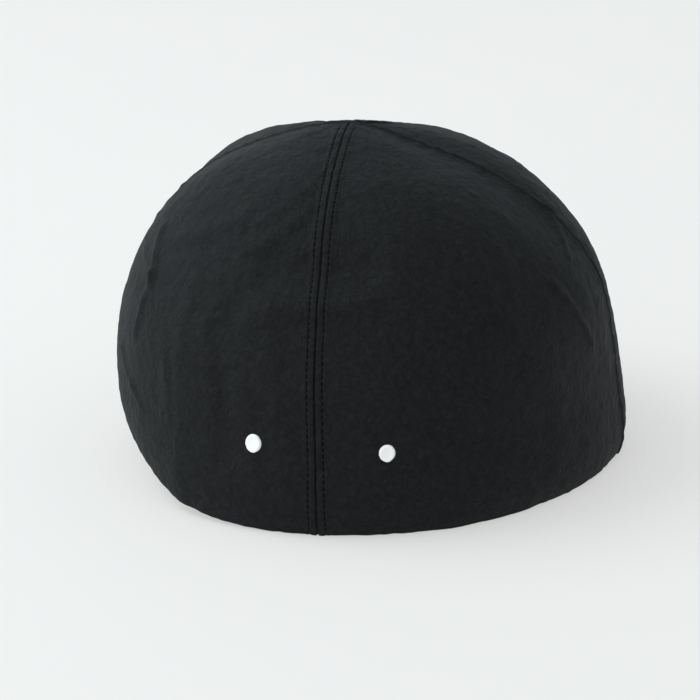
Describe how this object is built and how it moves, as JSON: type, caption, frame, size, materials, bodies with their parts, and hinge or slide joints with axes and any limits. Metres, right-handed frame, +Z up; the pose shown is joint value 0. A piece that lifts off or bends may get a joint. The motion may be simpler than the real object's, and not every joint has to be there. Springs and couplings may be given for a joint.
{
  "type": "bump cap",
  "caption": "Soft black cloth bump cap with a short peak, closed at the back, over a removable vented hard liner with foam pads and a sweatband.",
  "frame": {"origin": "centre of the head opening, in the plane of the lower hem", "axes": "+Z up through the crown, -Y towards the peak and the wearer's face, +X towards the wearer's left"},
  "size_m": [0.1984, 0.2725, 0.133],
  "materials": {
    "cover_cloth": "crinkled black nylon",
    "tape": "matte woven tape",
    "peak_board": "matte",
    "white_thread": "satin embroidery",
    "loop": "looped pile",
    "hook": "hook side",
    "shell_plastic": "satin moulded",
    "foam": "matte closed-cell foam",
    "band_cloth": "brushed",
    "elastic": "ribbed elastic",
    "stud_plastic": "matte"
  },
  "bodies": {
    "liner": {"shell": "shell_plastic", "pad_crown": "foam", "pad_front": "foam", "pad_back": "foam", "pad_left": "foam", "pad_right": "foam", "sweatband_cloth": "band_cloth", "sweatband_foam": "foam", "sweatband_elastic": "elastic", "sweatband_studs": "stud_plastic", "hook_patches": "hook"},
    "cover": {"panel_back_left": "cover_cloth", "panel_back_right": "cover_cloth", "panel_front_left": "cover_cloth", "panel_front_right": "cover_cloth", "seam_tape_long": "tape", "seam_tapes_side": "tape", "hem_facing": "tape", "peak_board": "peak_board", "peak_top_cloth": "cover_cloth", "peak_under_cloth": "cover_cloth", "back_spots": "white_thread", "loop_patches": "loop"}
  },
  "joints": [
    {"name": "cover_lift", "type": "slide", "parent": "liner", "child": "cover", "axis": [0, 0, 1], "range_m": [0, 0.15]}
  ]
}
